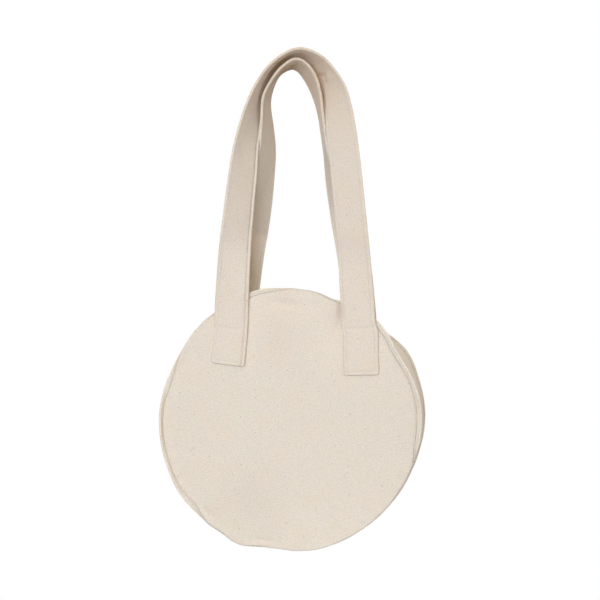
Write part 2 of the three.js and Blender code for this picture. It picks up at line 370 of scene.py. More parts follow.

# The left and the right end of each strap: how long its sewn box is, how far its cut is out of square,
# as a rise for each unit across, how far it steps aside at the top of the box,
# how clearly the stitched lines along its inner and its outer edge show,
# how far its inner edge stands off the panel, with its outer edge pressed in,
# and how dark the painted shadow line is where its inner edge meets the panel
STRAP_ENDS = {
    "front": (
        StrapEnd(box=43, slant=0.04, jog=0, inner=1.9, outer=0.12, lift=1, shade=0),
        StrapEnd(box=54, slant=0.03, jog=1.3, inner=0.3, outer=0.15, lift=0, shade=5),
    ),
    "back": (
        StrapEnd(box=46, slant=0.02, jog=-0.8, inner=0.3, outer=0.3, lift=0.3, shade=0),
        StrapEnd(box=50, slant=-0.03, jog=0.5, inner=0.3, outer=0.3, lift=0.3, shade=0),
    ),
}

# Dents in a strap's face: the table row that each is at, its place across, half length, half width and depth
STRAP_DENTS = {
    "front": [
        StrapDent(row=9.75, across=-7, length=5, width=6, depth=5.5),
        StrapDent(row=9.95, across=4, length=4, width=6, depth=-2.4),
        StrapDent(row=4.6, across=4, length=14, width=9, depth=1.2),
        StrapDent(row=3.4, across=-5, length=16, width=10, depth=-1),
        StrapDent(row=12.6, across=-6, length=18, width=12, depth=1),
        StrapDent(row=7.6, across=3, length=9, width=16, depth=1),
    ],
    "back": [
        StrapDent(row=4.3, across=-6, length=16, width=9, depth=1.2),
        StrapDent(row=6.2, across=-4, length=12, width=10, depth=-1),
        StrapDent(row=13, across=4, length=14, width=10, depth=1),
    ],
}
JOG_LENGTH = 4
JOG_REACH = 24
SLANT_REACH = 12
LIFT_FROM = 6
SHOWS_BLEND = (0.3, 0.7)

# How far shade is painted to each side of a strap's top, under its arch, and how much less at its edges
ARCH_SHADE_REACH = 75
ARCH_SHADE_INSET = (0.5, 3)
EDGE_ARCH_SHADE = 0.6

# How a painted shadow line along a strap's inner edge spreads, and between which distances from the end it
# sets in
EDGE_SHADE_SPREAD = 0.9
EDGE_SHADE_END = (88, 78)

# The binding's section from its base in the seam to its folded edge: how far out, and half as thick
BINDING_SECTION = (
    (-1.2, 0), (-0.6, 0.4), (0, 0.6), (0.6, 1.0), (1.3, 1.35), (2.0, 1.35), (2.6, 1.15), (3.1, 0.95),
    (3.6, 1.15), (4.2, 1.3), (4.9, 1.35), (5.5, 1.15), (5.85, 0.7), (6.0, 0),
)
BINDING_STITCH_OUT = 3.1

# Lines where cloth is painted paler, or below 0 darker: across a binding, from a strap's edge, from its end
# and from the top of its sewn box. Pale lines along folded edges and ends are partly wear and partly painted
# highlight. Dark lines at a binding's base and in stitched grooves are painted shade, and at the top of a
# sewn box a painted highlight on its crease lies above painted shade in the stitched line
BINDING_WEAR_AND_SHADE = (
    WearShadeLine(at=BINDING_REACH, spread=0.8, wear_and_shade=0.3),
    WearShadeLine(at=0, spread=0.9, wear_and_shade=-6),
    WearShadeLine(at=BINDING_STITCH_OUT, spread=0.5, wear_and_shade=-0.4),
)
STRAP_EDGE_WEAR_AND_SHADE = (
    WearShadeLine(at=0, spread=2, wear_and_shade=0.9),
    WearShadeLine(at=TOPSTITCH_INSET, spread=0.9, wear_and_shade=-1.2),
)
STRAP_END_WEAR_AND_HIGHLIGHT = (
    WearShadeLine(at=0, spread=2.4, wear_and_shade=0.9),
)
STRAP_BOX_SHADING = (
    WearShadeLine(at=-2.5, spread=1.5, wear_and_shade=0.7),
    WearShadeLine(at=1, spread=1.5, wear_and_shade=-0.8),
)
# Painted shade along a strap's open edge, between its folded layers
OPEN_EDGE_SHADE = -1
# How far a band is painted paler along the folded hem at its mouth, and how far shade is painted along its
# seams
BAND_SEAM_SPREAD = 2
BAND_MOUTH_SPREAD = 1

# A stitch from end to end: how far along, how thick and how far out of the cloth, in widths of the thread
STITCH_RINGS = (
    StitchRing(share=0, fullness=0.3, rise=-0.5),
    StitchRing(share=0.12, fullness=0.85, rise=0),
    StitchRing(share=0.5, fullness=1, rise=0.25),
    StitchRing(share=0.88, fullness=0.85, rise=0),
    StitchRing(share=1, fullness=0.3, rise=-0.5),
)

# Distances from a strap's edge at which its section has points, and how deep its open edge is
EDGE_STATIONS = (0, 0.2, 0.5, 0.9, 1.5, 2.2, 3.0, 3.7, 4.2, 4.7, 5.4, 6.6, 8.5, 11.5, 15.5)
STRAP_EDGE = 1.5
OPEN_EDGE = 0.8
STRAP_CORNER = 3
STRAP_END = 1.2


def lerp(start, end, share):
    return start + (end - start) * share


def clamp(value, low, high):
    return max(low, min(high, value))


def smoothstep(value, low, high):
    share = clamp((value - low) / (high - low), 0, 1)
    return share * share * (3 - 2 * share)


def bump(distance, spread):
    return math.exp(-((distance / spread) ** 2))


def rounding(distance, radius):
    """How full a rounded edge is, from 0 at the edge to 1 at its radius and beyond."""
    missing = clamp(1 - distance / radius, 0, 1)
    return math.sqrt(1 - missing * missing)


def angle_between(start, end):
    return (end - start + 180) % 360 - 180


def uneven(*place):
    """Smooth noise between about -1 and 1, the same on every run."""
    return noise.noise(Vector(place))


def radial(angle):
    return Vector((math.cos(math.radians(angle)), 0, math.sin(math.radians(angle))))


def line_wear_and_shade(lines, distance):
    return sum(line.wear_and_shade * bump(distance - line.at, line.spread) for line in lines)


def stitch_pinch(distance, least):
    """How tightly a seam is drawn in at a distance along it, from least between two stitches to 1."""
    return lerp(least, 1, 0.5 + 0.5 * math.cos(2 * math.pi * distance / STITCH_PITCH))


# Panels

def binding_stand(lean):
    """How far a binding with this lean stands out beyond the seam, as seen from the front."""
    turn = math.radians(lean)
    return BINDING_REACH * max(math.cos(turn), 0) + BINDING_THICKNESS / 2 * abs(math.sin(turn))


def rim_at(panel, angle):
    """The seam's radius and turns at an angle. Where a binding stands out less, its seam lies further out."""
    seam = smoothstep(abs(angle_between(UP, angle)), MOUTH_HALF_ANGLE, MOUTH_HALF_ANGLE + EDGE_BLEND)
    plain_lean = lerp(EDGE_LEAN, SEAM_LEAN, seam)
    radius = PANEL_RADIUS
    inward = 0
    lean = plain_lean
    curl = 0
    for fold in RIM_FOLDS[panel.name]:
        share = bump(angle_between(fold.at, angle), fold.spread)
        radius += share * fold.outward
        inward += share * fold.inward
        lean += share * fold.lean
        curl += share * fold.curl
    bend = math.radians(curl)
    radius += CURL_RADIUS * (bend - math.sin(min(bend, math.pi / 2)))
    lean -= curl
    radius += binding_stand(plain_lean) - binding_stand(lean)
    return Rim(radius, inward, lean, bend)


def fold_depth(panel, x, z):
    depth = 0
    for fold in PANEL_FOLDS[panel.name]:
        turn = math.radians(fold.turn)
        along = (x - fold.x) * math.cos(turn) + (z - fold.z) * math.sin(turn)
        across = (z - fold.z) * math.cos(turn) - (x - fold.x) * math.sin(turn)
        depth += fold.depth * bump(along, fold.length) * bump(across, fold.width)
    return depth


def polar_place(panel, x, z):
    from_x = x - PANEL_CENTRE_X
    from_z = z - PANEL_CENTRE_Z
    rim = rim_at(panel, math.degrees(math.atan2(from_z, from_x)))
    return rim, math.hypot(from_x, from_z) / rim.radius


def smooth_depth(panel, x, z):
    """How far a panel's middle surface is from the bag's middle plane, before its folds."""
    rim, share = polar_place(panel, x, z)
    lean = MOUTH_LEAN * smoothstep((z - PANEL_CENTRE_Z) / PANEL_RADIUS, LEAN_FROM, 1)
    crown = CROWN * (1 - min(share, 1) ** 2)
    return GUSSET_DEPTH / 2 - lean + crown - rim.inward * share ** ROLL_POWER


def panel_unevenness(panel, x, z, share):
    """Broad waves of the cloth, and puckers that run in from the sewn rim."""
    wave = WAVE * uneven(x / WAVE_LENGTH, panel.seed, z / WAVE_LENGTH)
    out = 1 / (max(share, SMALLEST_SHARE) * PUCKER_LENGTH)
    ripple = uneven((x - PANEL_CENTRE_X) * out, panel.seed + PUCKER_SEED, (z - PANEL_CENTRE_Z) * out)
    return wave * (1 - share ** WAVE_FADE_POWER) + PUCKER * ripple * smoothstep(share, *PUCKER_BAND)


def panel_depth(panel, x, z, share):
    folds = fold_depth(panel, x - PANEL_CENTRE_X, z - PANEL_CENTRE_Z)
    return smooth_depth(panel, x, z) - folds + panel_unevenness(panel, x, z, min(share, 1))


def seam_shows(rim):
    """How far a binding stands up beside its panel, from 0 where it lies folded back to 1."""
    return smoothstep(rim.lean, *FOLDED_BACK)


def panel_point(panel, angle, share):
    rim = rim_at(panel, angle)
    reach = share * rim.radius
    back = SEAM_DIP * seam_shows(rim) * smoothstep(share, SEAM_DIP_FROM, 1)
    into_curl = reach - rim.radius + CURL_RADIUS * rim.curl
    if into_curl > 0:
        turn = into_curl / CURL_RADIUS
        reach += CURL_RADIUS * math.sin(turn) - into_curl
        back += CURL_RADIUS * (1 - math.cos(turn))
    x = PANEL_CENTRE_X + reach * math.cos(math.radians(angle))
    z = PANEL_CENTRE_Z + reach * math.sin(math.radians(angle))
    return Vector((x, panel.side * (panel_depth(panel, x, z, share) - back), z))


def disc_place(right, up):
    """The angle and share of a round panel that a place on a square grid, from -1 to 1 each way, goes to."""
    if right == 0 and up == 0:
        return 0, 0
    if abs(right) > abs(up):
        angle = 45 * up / right
        return (angle if right > 0 else angle + 180), abs(right)
    angle = 90 - 45 * right / up
    return (angle if up > 0 else angle + 180), abs(up)


def grid_normals(points, outward):
    """Unit normals of a grid of points, turned to the side that outward(point) points to."""
    rows = len(points)
    columns = len(points[0])
    normals = []
    for i in range(rows):
        line = []
        for j in range(columns):
            down = points[min(i + 1, rows - 1)][j] - points[max(i - 1, 0)][j]
            along = points[i][min(j + 1, columns - 1)] - points[i][max(j - 1, 0)]
            normal = down.cross(along).normalized()
            line.append(normal if normal.dot(outward(points[i][j])) > 0 else -normal)
        normals.append(line)
    return normals


def patch_shading(panel, x, z):
    return sum(patch.wear_and_shade * bump(math.hypot(x - patch.x, z - patch.z), patch.spread)
               for patch in PANEL_PATCHES[panel.name])


def panel_rows(panel):
    rings = [1 - (1 - step / PANEL_STEPS) ** RING_POWER for step in range(PANEL_STEPS + 1)]
    places = [*(-ring for ring in reversed(rings)), *rings[1:]]
    polar = [[disc_place(right, up) for right in places] for up in places]
    points = [[panel_point(panel, angle, share) for angle, share in row] for row in polar]
    normals = grid_normals(points, lambda point: Vector((0, panel.side, 0)))
    rows = []
    for i, row in enumerate(polar):
        line = []
        for j, (angle, share) in enumerate(row):
            half = normals[i][j] * (CANVAS / 2 if share < 1 else 0)
            point = points[i][j]
            # Painted patches of shade and light on the panel
            wear_and_shade = patch_shading(panel, point.x - PANEL_CENTRE_X, point.z - PANEL_CENTRE_Z)
            # Painted shade in the seam, where the binding stands up beside the panel
            wear_and_shade -= SEAM_SHADE * seam_shows(rim_at(panel, angle)) * smoothstep(share, SEAM_SHADE_FROM, 1)
            line.append(Spot(point + half, point - half, (point.x, point.z), wear_and_shade))
        rows.append(line)
    return rows


# The band between the panels

def stations(length, step):
    """Distances along a length, an even step apart but closer at both ends."""
    inner = END_STATIONS[-1]
    count = round((length - 2 * inner) / step)
    even = [inner + (length - 2 * inner) * i / count for i in range(1, count)]
    return [*END_STATIONS, *even, *(length - end for end in reversed(END_STATIONS))]


def gusset_point(angle, share, along):
    front = panel_point(FRONT, angle, 1)
    back = panel_point(BACK, angle, 1)
    bow = 4 * share * (1 - share)
    wave = uneven(along / BAND_WAVE_LENGTH, BAND_SEED, share * GUSSET_DEPTH / (2 * BAND_WAVE_LENGTH))
    ripple = uneven(along / PUCKER_LENGTH, BAND_PUCKER_SEED, round(share))
    out = (GUSSET_BULGE + BAND_WAVE * wave) * bow
    out += PUCKER * ripple * (1 - bow) * min(1, PUCKER_START * bow)
    return front.lerp(back, share) + radial(angle) * out


def gusset_rows():
    sweep = 360 - 2 * MOUTH_HALF_ANGLE
    length = PANEL_RADIUS * math.radians(sweep)
    distances = stations(length, BAND_STEP)
    shares = [column / BAND_COLUMNS for column in range(BAND_COLUMNS + 1)]
    angles = [UP + MOUTH_HALF_ANGLE + sweep * along / length for along in distances]
    points = [[gusset_point(angle, share, along) for share in shares]
              for angle, along in zip(angles, distances)]
    centre = Vector((PANEL_CENTRE_X, 0, PANEL_CENTRE_Z))
    normals = grid_normals(points, lambda point: point - centre)
    rows = []
    for i, along in enumerate(distances):
        from_mouth = min(along, length - along)
        fullness = lerp(HEM_FULLNESS, 1, smoothstep(from_mouth, HEM - FADE, HEM + FADE))
        fullness *= rounding(from_mouth, STRAP_END)
        fullness -= GROOVE * bump(from_mouth - HEM + HEM_STITCH_INSET, GROOVE_SPREAD)
        line = []
        for j, share in enumerate(shares):
            from_seam = min(share, 1 - share) * GUSSET_DEPTH
            closed = from_seam == 0 or from_mouth == 0
            half = normals[i][j] * (0 if closed else max(fullness, LEAST_FULLNESS) * CANVAS / 2)
            point = points[i][j]
            # Paler along the folded hem at the mouth, with painted shade along both seams
            wear_and_shade = bump(from_mouth, BAND_MOUTH_SPREAD) - bump(from_seam, BAND_SEAM_SPREAD)
            line.append(Spot(point + half, point - half, (along, share * GUSSET_DEPTH), wear_and_shade))
        rows.append(line)
    return rows


# The bound seams

def binding_frame(panel, angle):
    """The seam's place at an angle, the way that the folded strip stands out of it, and across the strip."""
    place = radial(angle) * PANEL_RADIUS / BINDING_WAVE_LENGTH
    sway = BINDING_WAVE * uneven(place.x, panel.seed + BINDING_SEED, place.z)
    lean = math.radians(rim_at(panel, angle).lean + sway)
    outward = Vector((0, panel.side, 0))
    along = radial(angle) * math.cos(lean) + outward * math.sin(lean)
    across = outward * math.cos(lean) - radial(angle) * math.sin(lean)
    return panel_point(panel, angle, 1), along, across


def binding_rows(panel):
    length = 2 * math.pi * PANEL_RADIUS
    steps = round(length / BINDING_STEP)
    rows = []
    for step in range(steps + 1):
        rim, along, across = binding_frame(panel, 360 * step / steps)
        distance = length * step / steps
        pinch = BINDING_PINCH * stitch_pinch(distance, 0)
        line = []
        for out, half in BINDING_SECTION:
            if half > 0:
                half -= pinch * bump(out - BINDING_STITCH_OUT, BINDING_PINCH_SPREAD)
            middle = rim + along * out
            wear_and_shade = line_wear_and_shade(BINDING_WEAR_AND_SHADE, out)
            line.append(Spot(middle + across * half, middle - across * half, (distance, out), wear_and_shade))
        rows.append(line)
    return rows


# The straps

def from_column(rows, column, place):
    """A value from one column of a table, on a smooth curve through its rows."""
    last = len(rows) - 1
    index = int(clamp(math.floor(place), 0, last - 1))
    t = place - index
    values = [getattr(rows[int(clamp(index + i, 0, last))], column) for i in (-1, 0, 1, 2)]
    before, start, end, after = values
    start_slope = (end - before) / 2
    end_slope = (after - start) / 2
    a = 2 * start - 2 * end + start_slope + end_slope
    b = 3 * end - 3 * start - 2 * start_slope - end_slope
    return ((a * t + b) * t + start_slope) * t + start


def seat_depth(panel, x, z):
    """How far out a strap's near face lies where it rests on a panel and on its bound rim."""
    _, share = polar_place(panel, x, z)
    wall = lerp(CANVAS, BINDING_THICKNESS, smoothstep(share, RIM_STEP_FROM, 1)) / 2
    return panel_depth(panel, x, z, share) + wall + STRAP_GAP


class Strap:
    """One strap, whose points are found by the distance along it, across it and up from its middle."""

    PLACES_PER_ROW = 40
    NUDGE = 0.01

    def __init__(self, panel):
        self.panel = panel
        self.rows = STRAP_ROWS[panel.name]
        self.ends = STRAP_ENDS[panel.name]
        self.dents = STRAP_DENTS[panel.name]
        count = (len(self.rows) - 1) * self.PLACES_PER_ROW
        self.places = [i / self.PLACES_PER_ROW for i in range(count + 1)]
        self.reached = [0]
        for before, place in zip(self.places, self.places[1:]):
            self.reached.append(self.reached[-1] + (self.middle(place) - self.middle(before)).length)
        self.length = self.reached[-1]

    def middle(self, place):
        return Vector([from_column(self.rows, axis, place) for axis in "xyz"])

    def place(self, distance):
        """The place in the table that a distance along the strap comes to."""
        low = 0
        high = len(self.reached) - 1
        while high - low > 1:
            half = (low + high) // 2
            low, high = (half, high) if self.reached[half] <= distance else (low, half)
        share = (distance - self.reached[low]) / (self.reached[high] - self.reached[low])
        return lerp(self.places[low], self.places[high], share)

    def frame(self, distance):
        """The middle at a distance, the ways along, across and out of the face, and how far it is sewn."""
        place = self.place(distance)
        ahead = self.middle(min(place + self.NUDGE, self.places[-1]))
        tangent = (ahead - self.middle(max(place - self.NUDGE, 0))).normalized()
        inward = Vector((tangent.z, 0, -tangent.x)).normalized()
        forward = inward.cross(tangent)
        roll = math.radians(from_column(self.rows, "roll", place))
        edge = forward * math.sin(roll) - inward * math.cos(roll)
        face = inward * math.sin(roll) + forward * math.cos(roll)
        sewn = clamp(from_column(self.rows, "sewn", place), 0, 1)
        return self.middle(place), tangent, edge, face, sewn

    def from_end(self, distance):
        return min(distance, self.length - distance)

    def end(self, distance):
        return self.ends[0 if distance < self.length / 2 else 1]

    def aside(self, distance):
        """How far the strap lies to the right of its table's line, around the top of a sewn box."""
        end = self.end(distance)
        below = end.box - self.from_end(distance)
        return end.jog * math.tanh(below / JOG_LENGTH) * bump(below, JOG_REACH)

    def shows(self, distance, across):
        """How clearly the stitched line along one edge shows, at a distance along the strap."""
        left, right = self.ends
        share = smoothstep(distance / self.length, *SHOWS_BLEND)
        if across < 0:
            return lerp(left.inner, right.inner, share)
        return lerp(left.outer, right.outer, share)

    def dent(self, distance, across):
        depth = 0
        for dent in self.dents:
            along = distance - self.reached[round(dent.row * self.PLACES_PER_ROW)]
            depth += dent.depth * bump(along, dent.length) * bump(across - dent.across, dent.width)
        return depth

    def half_thickness(self, distance, across):
        from_edge = STRAP_WIDTH / 2 - abs(across)
        from_end = self.from_end(distance)
        shows = self.shows(distance, across)
        half = STRAP_THICKNESS / 2 + shows * EDGE_PUFF * bump(from_edge - TOPSTITCH_INSET / 2, GROOVE_SPREAD)
        half *= rounding(from_edge, STRAP_EDGE) * rounding(from_end, STRAP_END)
        groove = shows * stitch_pinch(distance, 0.5) * bump(from_edge - TOPSTITCH_INSET, GROOVE_SPREAD)
        inside_lines = smoothstep(from_edge, TOPSTITCH_INSET - FADE, TOPSTITCH_INSET + FADE)
        for line in (TOPSTITCH_INSET, self.end(distance).box):
            groove = max(groove, END_GROOVE * inside_lines * bump(from_end - line, GROOVE_SPREAD))
        return max(half - GROOVE * groove, 0) if half > 0 else 0

    def point(self, distance, across, up):
        """A point of the strap; up counts from its middle surface, towards the face that looks forward."""
        middle, tangent, edge, face, sewn = self.frame(distance)
        end = self.end(distance)
        slant = end.slant * bump(self.from_end(distance), SLANT_REACH)
        middle.x += self.aside(distance)
        wave = uneven(distance / STRAP_WAVE_LENGTH, across / STRAP_WAVE_LENGTH, self.panel.seed + STRAP_SEED)
        free = up + STRAP_WAVE * wave - self.dent(distance, across)
        point = middle + edge * across + tangent * (slant * across) + face * free
        seat = seat_depth(self.panel, point.x, point.z) + STRAP_THICKNESS / 2
        seat -= end.lift * math.copysign(smoothstep(abs(across), LIFT_FROM, STRAP_WIDTH / 2), across)
        point.y = lerp(point.y, self.panel.side * seat - up, sewn)
        return point

    def width_share(self, distance):
        """How much of its width the strap has near its rounded end corners."""
        lost = STRAP_CORNER * (1 - rounding(self.from_end(distance), STRAP_CORNER))
        return 1 - lost / (STRAP_WIDTH / 2)


def strap_section():
    """Places across a strap, from its open inner edge to its folded outer one."""
    half = STRAP_WIDTH / 2
    inset = [half - station for station in EDGE_STATIONS]
    return [-place for place in inset] + [0] + list(reversed(inset))


def strap_wear_and_shade(strap, distance, across):
    """How pale a strap is painted along its edges and ends, partly wear and partly painted highlight, with
    painted shade in its stitched grooves, along its open edge and where its inner edge meets the panel, and a
    painted highlight and shade at the top of its sewn box.
    """
    from_edge = STRAP_WIDTH / 2 - abs(across)
    from_end = strap.from_end(distance)
    end = strap.end(distance)
    # Painted shade along the open edge, between its folded layers
    if across < 0 and from_edge == 0:
        wear_and_shade = OPEN_EDGE_SHADE
    else:
        wear_and_shade = strap.shows(distance, across) * line_wear_and_shade(STRAP_EDGE_WEAR_AND_SHADE, from_edge)
        wear_and_shade += line_wear_and_shade(STRAP_END_WEAR_AND_HIGHLIGHT, from_end) + line_wear_and_shade(STRAP_BOX_SHADING, from_end - end.box)
    if across < 0:
        # A painted shadow line where the inner edge meets the panel, near a sewn end
        wear_and_shade -= end.shade * bump(from_edge, EDGE_SHADE_SPREAD) * smoothstep(from_end, *EDGE_SHADE_END)
    return wear_and_shade


# Painted shade on a strap's top, where it arches over, less at its edges
def strap_arch_shade(strap, distance, across):
    inside = smoothstep(STRAP_WIDTH / 2 - abs(across), *ARCH_SHADE_INSET)
    return bump(distance - strap.length / 2, ARCH_SHADE_REACH) * lerp(EDGE_ARCH_SHADE, 1, inside)


def strap_rows(strap):
    section = strap_section()
    rows = []
    for distance in stations(strap.length, STRAP_STEP):
        share = strap.width_share(distance)
        line = []
        for across in section:
            half = strap.half_thickness(distance, across)
            place = across * share
            if across == section[0]:
                place += OPEN_EDGE
            outer = strap.point(distance, place, half)
            inner = strap.point(distance, place, -half)
            wear_and_shade = strap_wear_and_shade(strap, distance, across)
            arch_shade = strap_arch_shade(strap, distance, across)
            line.append(Spot(outer, inner, (distance, across), wear_and_shade, arch_shade))
        rows.append(line)
    return rows


# Meshes

def cloth_piece(name, rows, material):
    """A piece with an outer and an inner face over a grid of spots, which meet along the grid's borders."""
    columns = len(rows[0])
    spots = [spot for row in rows for spot in row]
    faces = []
    for i in range(len(rows) - 1):
        for j in range(columns - 1):
            corner = i * columns + j
            quad = (corner, corner + 1, corner + columns + 1, corner + columns)
            faces.append(quad)
            faces.append(tuple(len(spots) + index for index in reversed(quad)))
    points = [spot.outer * MM for spot in spots] + [spot.inner * MM for spot in spots]
    mesh = bpy.data.meshes.new(name)
    mesh.from_pydata(points, [], faces)
    cloth = mesh.uv_layers.new(name="cloth")
    for loop in mesh.loops:
        cloth.uv[loop.index].vector = spots[loop.vertex_index % len(spots)].uv
    for look in ("wear_and_shade", "arch_shade"):
        values = mesh.attributes.new(look, "FLOAT", "POINT")
        values.data.foreach_set("value", [getattr(spot, look) for spot in spots] * 2)
    return finished_piece(name, mesh, material)


def finished_piece(name, mesh, material):
    """Joins the points that lie on each other, turns the faces outward and puts the mesh into the scene."""
    shape = bmesh.new()
    shape.from_mesh(mesh)
    bmesh.ops.remove_doubles(shape, verts=shape.verts, dist=JOIN_WITHIN * MM)
    bmesh.ops.recalc_face_normals(shape, faces=shape.faces)
    shape.to_mesh(mesh)
    shape.free()
    mesh.shade_smooth()
    mesh.materials.append(material)
    piece = bpy.data.objects.new(name, mesh)
    bpy.context.scene.collection.objects.link(piece)
    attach(piece, "root")
    return piece


def stitches(name, seams, material):
    """One piece with a thread for each stitch, given as its start, its end and the way out of the cloth."""
    points = []
    faces = []
    for start, end, out in seams:
        first = len(points)
        side = (end - start).normalized().cross(out).normalized()
        for ring in STITCH_RINGS:
            middle = start.lerp(end, ring.share) + out * (ring.rise * THREAD)
            for i in range(STITCH_SIDES):
                turn = 2 * math.pi * i / STITCH_SIDES
                around = side * math.cos(turn) + out * math.sin(turn)
                points.append((middle + around * (ring.fullness * THREAD / 2)) * MM)
        for here in range(first, len(points) - STITCH_SIDES, STITCH_SIDES):
            ahead = here + STITCH_SIDES
            for i in range(STITCH_SIDES):
                k = (i + 1) % STITCH_SIDES
                faces.append((here + i, here + k, ahead + k, ahead + i))
        faces.append(tuple(range(first, first + STITCH_SIDES)))
        faces.append(tuple(range(len(points) - STITCH_SIDES, len(points))))
    mesh = bpy.data.meshes.new(name)
    mesh.from_pydata(points, [], faces)
    return finished_piece(name, mesh, material)


def strap_stitches(strap):
    """The lines along both edges on both faces, and the two lines across each sewn end."""
    inset = STRAP_WIDTH / 2 - TOPSTITCH_INSET
    from_panel = Vector((0, strap.panel.side, 0))
    seams = []
    for i in range(int((strap.length - 2 * TOPSTITCH_INSET) / STITCH_PITCH)):
        start = TOPSTITCH_INSET + i * STITCH_PITCH
        _, _, _, out, sewn = strap.frame(start)
        out = out.lerp(from_panel, sewn).normalized()
        for across in (-inset, inset):
            for face in (1, -1):
                ends = [strap.point(distance, across, face * strap.half_thickness(distance, across))
                        for distance in (start, start + STITCH_LENGTH)]
                seams.append((*ends, face * out))
    left, right = strap.ends
    for distance in (TOPSTITCH_INSET, left.box, strap.length - right.box, strap.length - TOPSTITCH_INSET):
        for i in range(int(2 * inset / STITCH_PITCH)):
            start = -inset + i * STITCH_PITCH
            ends = [strap.point(distance, across, strap.half_thickness(distance, across))
                    for across in (start, start + STITCH_LENGTH)]
            seams.append((*ends, from_panel))
    return seams


def binding_stitches(panel):
    length = 2 * math.pi * PANEL_RADIUS
    count = int(length / STITCH_PITCH)
    half = dict(BINDING_SECTION)[BINDING_STITCH_OUT]
    turn = 360 * STITCH_LENGTH / length
    seams = []
    for i in range(count):
        angle = 360 * i / count
        frames = [binding_frame(panel, at) for at in (angle, angle + turn)]
        _, _, out = frames[0]
        for face in (1, -1):
            ends = [rim + along * BINDING_STITCH_OUT + across * (face * half)
                    for rim, along, across in frames]
            seams.append((*ends, out * face))
    return seams


# Materials

def srgb(red, green, blue):
    """A colour as shown on screen, from 0 to 255 each, in the linear values that shaders use."""
    def linear(value):
        value /= 255
        return value / 12.92 if value <= 0.04045 else ((value + 0.055) / 1.055) ** 2.4
    return (linear(red), linear(green), linear(blue), 1)


# Sizes in the cloth, in millimetres
THREAD_PITCH = 0.85
CROSS_SHADE = 0.45
WANDER = 0.9
SLUB_WIDTH = 0.8
WARP_SLUB = 9
WEFT_SLUB = 7
FLECK_SPACING = 18
FLECK_SHAPE = 1.5
RELIEF_HEIGHT = 0.3
FIBRE_DEPTH = 2

# Repeats of the noises, in each millimetre of cloth and in each metre of thread
WANDER_SCALE = 0.16
MOTTLE_SCALE = 0.035
GRAIN_SCALE = 0.7
TWIST_SCALE = 2600

# How far apart the cloth of two materials is cut, and what sets the weft's slubs apart from the warp's
CUT_STEP = (131, 57)
WEFT_SEED = 7

# What each layer of the cloth adds to its brightness and to its relief
TONE_BASE = 0.51
# The weave's height darkens the cloth between the threads as painted shade. The attribute from seams and
# edges brings worn edges with painted shade and highlight, and the one on the straps' tops brings painted
# shade under the arch.
TONE_WEIGHTS = {
    "height": 0.1, "warp": 0.14, "weft": 0.14, "mottle": 0.1, "grain": 0.44, "wear_and_shade": 0.05, "arch_shade": -0.045,
}
RELIEF_WEIGHTS = {"height": 0.6, "warp": 0.5, "weft": 0.5, "grain": 0.3}

CANVAS_COLOURS = {
    "canvas_panel": srgb(233, 221, 205),
    "canvas_band": srgb(231, 218, 202),
    "canvas_binding": srgb(234, 223, 208),
    "canvas_strap": srgb(232, 219, 203),
}
FLECK_COLOUR = srgb(118, 86, 56)
WARM_COLOUR = srgb(226, 211, 189)
# The tint of the painted shade on the straps' arch, darker and warmer
ARCH_SHADE_TINT = (1, 0.91, 0.82, 1)
THREAD_COLOUR = srgb(220, 207, 189)
FLOOR_COLOUR = srgb(244, 243, 241)


class Shader:
    """The node tree of a material or world, with short ways to add nodes and to link them."""

    def __init__(self, owner):
        owner.use_nodes = True
        self.owner = owner
        self.tree = owner.node_tree
        self.tree.nodes.clear()

    def add(self, kind, inputs=None, **settings):
        node = self.tree.nodes.new(kind)
        for setting, value in settings.items():
            setattr(node, setting, value)
        for socket, value in (inputs or {}).items():
            if isinstance(value, bpy.types.NodeSocket):
                self.tree.links.new(value, node.inputs[socket])
            else:
                node.inputs[socket].default_value = value
        return node

    def math(self, operation, *values):
        return self.add("ShaderNodeMath", dict(enumerate(values)), operation=operation).outputs[0]

    def total(self, layers, weights):
        """The sum of the named layers that have a weight."""
        result = 0
        for layer, weight in weights.items():
            result = self.math("MULTIPLY_ADD", layers[layer], weight, result)
        return result

    def map_range(self, value, low, high, most):
        """A value between low and high, as a share of most."""
        return self.add("ShaderNodeMapRange", {
            "Value": value, "From Min": low, "From Max": high, "To Min": 0, "To Max": most}).outputs[0]

    def mix(self, share, start, end, **settings):
        """A mix of two colours."""
        colours = {"Factor": share, "A": start, "B": end}
        return self.add("ShaderNodeMix", colours, data_type="RGBA", **settings).outputs[2]

    def streaks(self, u, v, across, along, seed):
        """Noise drawn out along the threads that run with v."""
        place = self.add("ShaderNodeCombineXYZ", {
            "X": self.math("DIVIDE", u, across), "Y": self.math("DIVIDE", v, along), "Z": seed})
        return self.noise(place.outputs[0], 1, 2)

    def noise(self, place, scale, detail):
        return self.add("ShaderNodeTexNoise", {"Vector": place, "Scale": scale, "Detail": detail}).outputs[0]

    def finish(self, shader):
        self.add("ShaderNodeOutputMaterial", {"Surface": shader.outputs[0]})
        return self.owner


def material_shader(name):
    return Shader(bpy.data.materials.new(name))


def woven_height(shader, u, v):
    """The height of a plain weave, from 0 between the threads to 1 on top of them."""
    turn_u = shader.math("SINE", shader.math("MULTIPLY", u, math.pi / THREAD_PITCH))
    turn_v = shader.math("SINE", shader.math("MULTIPLY", v, math.pi / THREAD_PITCH))
    side_u = shader.math("ABSOLUTE", turn_u)
    side_v = shader.math("ABSOLUTE", turn_v)
    bent_u = shader.math("MULTIPLY_ADD", side_u, CROSS_SHADE, 1 - CROSS_SHADE)
    bent_v = shader.math("MULTIPLY_ADD", side_v, CROSS_SHADE, 1 - CROSS_SHADE)
    warp = shader.math("MULTIPLY", shader.math("SQRT", side_u), bent_v)
    weft = shader.math("MULTIPLY", shader.math("SQRT", side_v), bent_u)
    over = shader.math("GREATER_THAN", shader.math("MULTIPLY", turn_u, turn_v), 0)
    return shader.add("ShaderNodeMix", {"Factor": over, "A": weft, "B": warp}).outputs[0]


